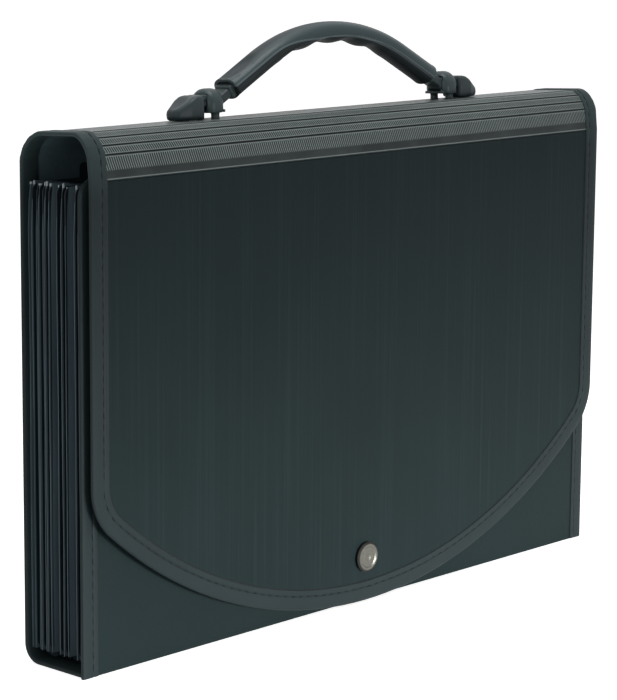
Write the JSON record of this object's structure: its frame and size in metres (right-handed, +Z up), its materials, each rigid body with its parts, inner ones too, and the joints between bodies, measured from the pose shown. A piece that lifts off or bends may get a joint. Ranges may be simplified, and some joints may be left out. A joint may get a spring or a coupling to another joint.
{
  "type": "expanding file case",
  "caption": "Expanding file case with a scored cover and snap flap, pleated pockets with index tabs and a flexible carrying handle held by keepers.",
  "frame": {"origin": "centre of the whole case's box in plan, on the surface that it stands on", "axes": "+X along the width, +Y from the flap to the back, +Z up"},
  "size_m": [0.369, 0.0494, 0.2875],
  "materials": {
    "cover_sheet": "satin black-green polypropylene with a fine embossed rib",
    "binding_tape": "woven binding tape, stitched",
    "pocket_sheet": "thin satin polypropylene sheet",
    "handle_plastic": "soft moulded plastic, satin",
    "strap_plastic": "flexible moulded strap, satin",
    "snap_metal": "satin gunmetal"
  },
  "bodies": {
    "case": {"back_panel": "cover_sheet", "back_tape": "binding_tape", "bottom_panel": "cover_sheet", "bottom_tape": "binding_tape", "pocket_floor": "pocket_sheet", "gusset_back": "pocket_sheet"},
    "crest": {"crest_strip": "cover_sheet", "crest_tape": "binding_tape", "keeper_left": "handle_plastic", "keeper_right": "handle_plastic", "keeper_plates": "handle_plastic", "rear_strip_1": "cover_sheet", "rear_strip_1_tape": "binding_tape", "rear_strip_2": "cover_sheet", "rear_strip_2_tape": "binding_tape", "rear_strip_3": "cover_sheet", "rear_strip_3_tape": "binding_tape"},
    "shoulder": {"front_strip_1": "cover_sheet", "front_strip_1_tape": "binding_tape", "front_strip_2": "cover_sheet", "front_strip_2_tape": "binding_tape", "front_strip_3": "cover_sheet", "front_strip_3_tape": "binding_tape", "front_strip_4": "cover_sheet", "front_strip_4_tape": "binding_tape"},
    "flap": {"flap_panel": "cover_sheet", "flap_tape": "binding_tape", "snap_cap": "snap_metal", "snap_socket": "snap_metal"},
    "pocket_01": {"divider_01": "pocket_sheet"},
    "pocket_02": {"divider_02": "pocket_sheet"},
    "pocket_03": {"divider_03": "pocket_sheet"},
    "pocket_04": {"divider_04": "pocket_sheet"},
    "pocket_05": {"divider_05": "pocket_sheet"},
    "pocket_06": {"divider_06": "pocket_sheet"},
    "pocket_07": {"divider_07": "pocket_sheet"},
    "pocket_08": {"divider_08": "pocket_sheet"},
    "pocket_09": {"divider_09": "pocket_sheet"},
    "pocket_10": {"divider_10": "pocket_sheet"},
    "pocket_11": {"divider_11": "pocket_sheet"},
    "pocket_12": {"divider_12": "pocket_sheet"},
    "front": {"front_panel": "cover_sheet", "front_tape": "binding_tape", "gusset_front": "pocket_sheet", "snap_stud": "snap_metal", "snap_stud_back": "snap_metal"},
    "grip": {"grip_middle": "handle_plastic", "strap_middle": "strap_plastic"},
    "arm_left": {"grip_arm_left": "handle_plastic", "strap_arm_left": "strap_plastic"},
    "strap_end_left": {"arrowhead_left": "strap_plastic"},
    "arm_right": {"grip_arm_right": "handle_plastic", "strap_arm_right": "strap_plastic"},
    "strap_end_right": {"arrowhead_right": "strap_plastic"}
  },
  "joints": [
    {"name": "fold_crest", "type": "hinge", "parent": "case", "child": "crest", "pos_m": [0, 0.02465, 0.23243], "axis": [-1, 0, 0], "range_deg": [0, 60]},
    {"name": "fold_shoulder", "type": "hinge", "parent": "crest", "child": "shoulder", "pos_m": [0, -0.01285, 0.24651], "axis": [-1, 0, 0], "range_deg": [0, 60.01]},
    {"name": "fold_flap", "type": "hinge", "parent": "shoulder", "child": "flap", "pos_m": [0, -0.02295, 0.22512], "axis": [-1, 0, 0], "range_deg": [0, 60.01]},
    {"name": "fan_pocket_01", "type": "hinge", "parent": "case", "child": "pocket_01", "pos_m": [0, -0.01735, 0.0003], "axis": [1, 0, 0], "range_deg": [0, 1.31]},
    {"name": "fan_pocket_02", "type": "hinge", "parent": "pocket_01", "child": "pocket_02", "pos_m": [0, -0.01735, 0.0003], "axis": [1, 0, 0], "range_deg": [0, 1.31]},
    {"name": "fan_pocket_03", "type": "hinge", "parent": "pocket_02", "child": "pocket_03", "pos_m": [0, -0.01735, 0.0003], "axis": [1, 0, 0], "range_deg": [0, 1.31]},
    {"name": "fan_pocket_04", "type": "hinge", "parent": "pocket_03", "child": "pocket_04", "pos_m": [0, -0.01735, 0.0003], "axis": [1, 0, 0], "range_deg": [0, 1.31]},
    {"name": "fan_pocket_05", "type": "hinge", "parent": "pocket_04", "child": "pocket_05", "pos_m": [0, -0.01735, 0.0003], "axis": [1, 0, 0], "range_deg": [0, 1.31]},
    {"name": "fan_pocket_06", "type": "hinge", "parent": "pocket_05", "child": "pocket_06", "pos_m": [0, -0.01735, 0.0003], "axis": [1, 0, 0], "range_deg": [0, 1.31]},
    {"name": "fan_pocket_07", "type": "hinge", "parent": "pocket_06", "child": "pocket_07", "pos_m": [0, -0.01735, 0.0003], "axis": [1, 0, 0], "range_deg": [0, 1.31]},
    {"name": "fan_pocket_08", "type": "hinge", "parent": "pocket_07", "child": "pocket_08", "pos_m": [0, -0.01735, 0.0003], "axis": [1, 0, 0], "range_deg": [0, 1.31]},
    {"name": "fan_pocket_09", "type": "hinge", "parent": "pocket_08", "child": "pocket_09", "pos_m": [0, -0.01735, 0.0003], "axis": [1, 0, 0], "range_deg": [0, 1.31]},
    {"name": "fan_pocket_10", "type": "hinge", "parent": "pocket_09", "child": "pocket_10", "pos_m": [0, -0.01735, 0.0003], "axis": [1, 0, 0], "range_deg": [0, 1.31]},
    {"name": "fan_pocket_11", "type": "hinge", "parent": "pocket_10", "child": "pocket_11", "pos_m": [0, -0.01735, 0.0003], "axis": [1, 0, 0], "range_deg": [0, 1.31]},
    {"name": "fan_pocket_12", "type": "hinge", "parent": "pocket_11", "child": "pocket_12", "pos_m": [0, -0.01735, 0.0003], "axis": [1, 0, 0], "range_deg": [0, 1.31]},
    {"name": "fan_front", "type": "hinge", "parent": "pocket_12", "child": "front", "pos_m": [0, -0.01735, 0.0003], "axis": [1, 0, 0], "range_deg": [0, 1.31]},
    {"name": "grip_lower", "type": "slide", "parent": "crest", "child": "grip", "axis": [0, -0.0523, -0.9986], "range_m": [0, 0.007]},
    {"name": "arm_left_flex", "type": "hinge", "parent": "grip", "child": "arm_left", "pos_m": [-0.05119, 0.00558, 0.27485], "axis": [0, 0.9986, -0.0523], "range_deg": [0, 12.94]},
    {"name": "arm_right_flex", "type": "hinge", "parent": "grip", "child": "arm_right", "pos_m": [0.05119, 0.00558, 0.27485], "axis": [0, -0.9986, 0.0523], "range_deg": [0, 12.94]},
    {"name": "strap_end_left_slide", "type": "slide", "parent": "crest", "child": "strap_end_left", "axis": [-1, 0, 0], "range_m": [0, 0.00412]},
    {"name": "strap_end_right_slide", "type": "slide", "parent": "crest", "child": "strap_end_right", "axis": [1, 0, 0], "range_m": [0, 0.00412]}
  ],
  "couplings": [
    {"joint": "fold_shoulder", "follows": "fold_crest", "ratio": 1},
    {"joint": "fold_flap", "follows": "fold_crest", "ratio": 1},
    {"joint": "fan_pocket_01", "follows": "fold_crest", "ratio": 0.021667},
    {"joint": "fan_pocket_02", "follows": "fold_crest", "ratio": 0.021667},
    {"joint": "fan_pocket_03", "follows": "fold_crest", "ratio": 0.021667},
    {"joint": "fan_pocket_04", "follows": "fold_crest", "ratio": 0.021667},
    {"joint": "fan_pocket_05", "follows": "fold_crest", "ratio": 0.021667},
    {"joint": "fan_pocket_06", "follows": "fold_crest", "ratio": 0.021667},
    {"joint": "fan_pocket_07", "follows": "fold_crest", "ratio": 0.021667},
    {"joint": "fan_pocket_08", "follows": "fold_crest", "ratio": 0.021667},
    {"joint": "fan_pocket_09", "follows": "fold_crest", "ratio": 0.021667},
    {"joint": "fan_pocket_10", "follows": "fold_crest", "ratio": 0.021667},
    {"joint": "fan_pocket_11", "follows": "fold_crest", "ratio": 0.021667},
    {"joint": "fan_pocket_12", "follows": "fold_crest", "ratio": 0.021667},
    {"joint": "fan_front", "follows": "fold_crest", "ratio": 0.021667},
    {"joint": "arm_left_flex", "follows": "grip_lower", "rad_per_m": 32.217},
    {"joint": "arm_right_flex", "follows": "grip_lower", "rad_per_m": 32.217},
    {"joint": "strap_end_left_slide", "follows": "grip_lower", "ratio": 0.58603},
    {"joint": "strap_end_right_slide", "follows": "grip_lower", "ratio": 0.58603}
  ]
}
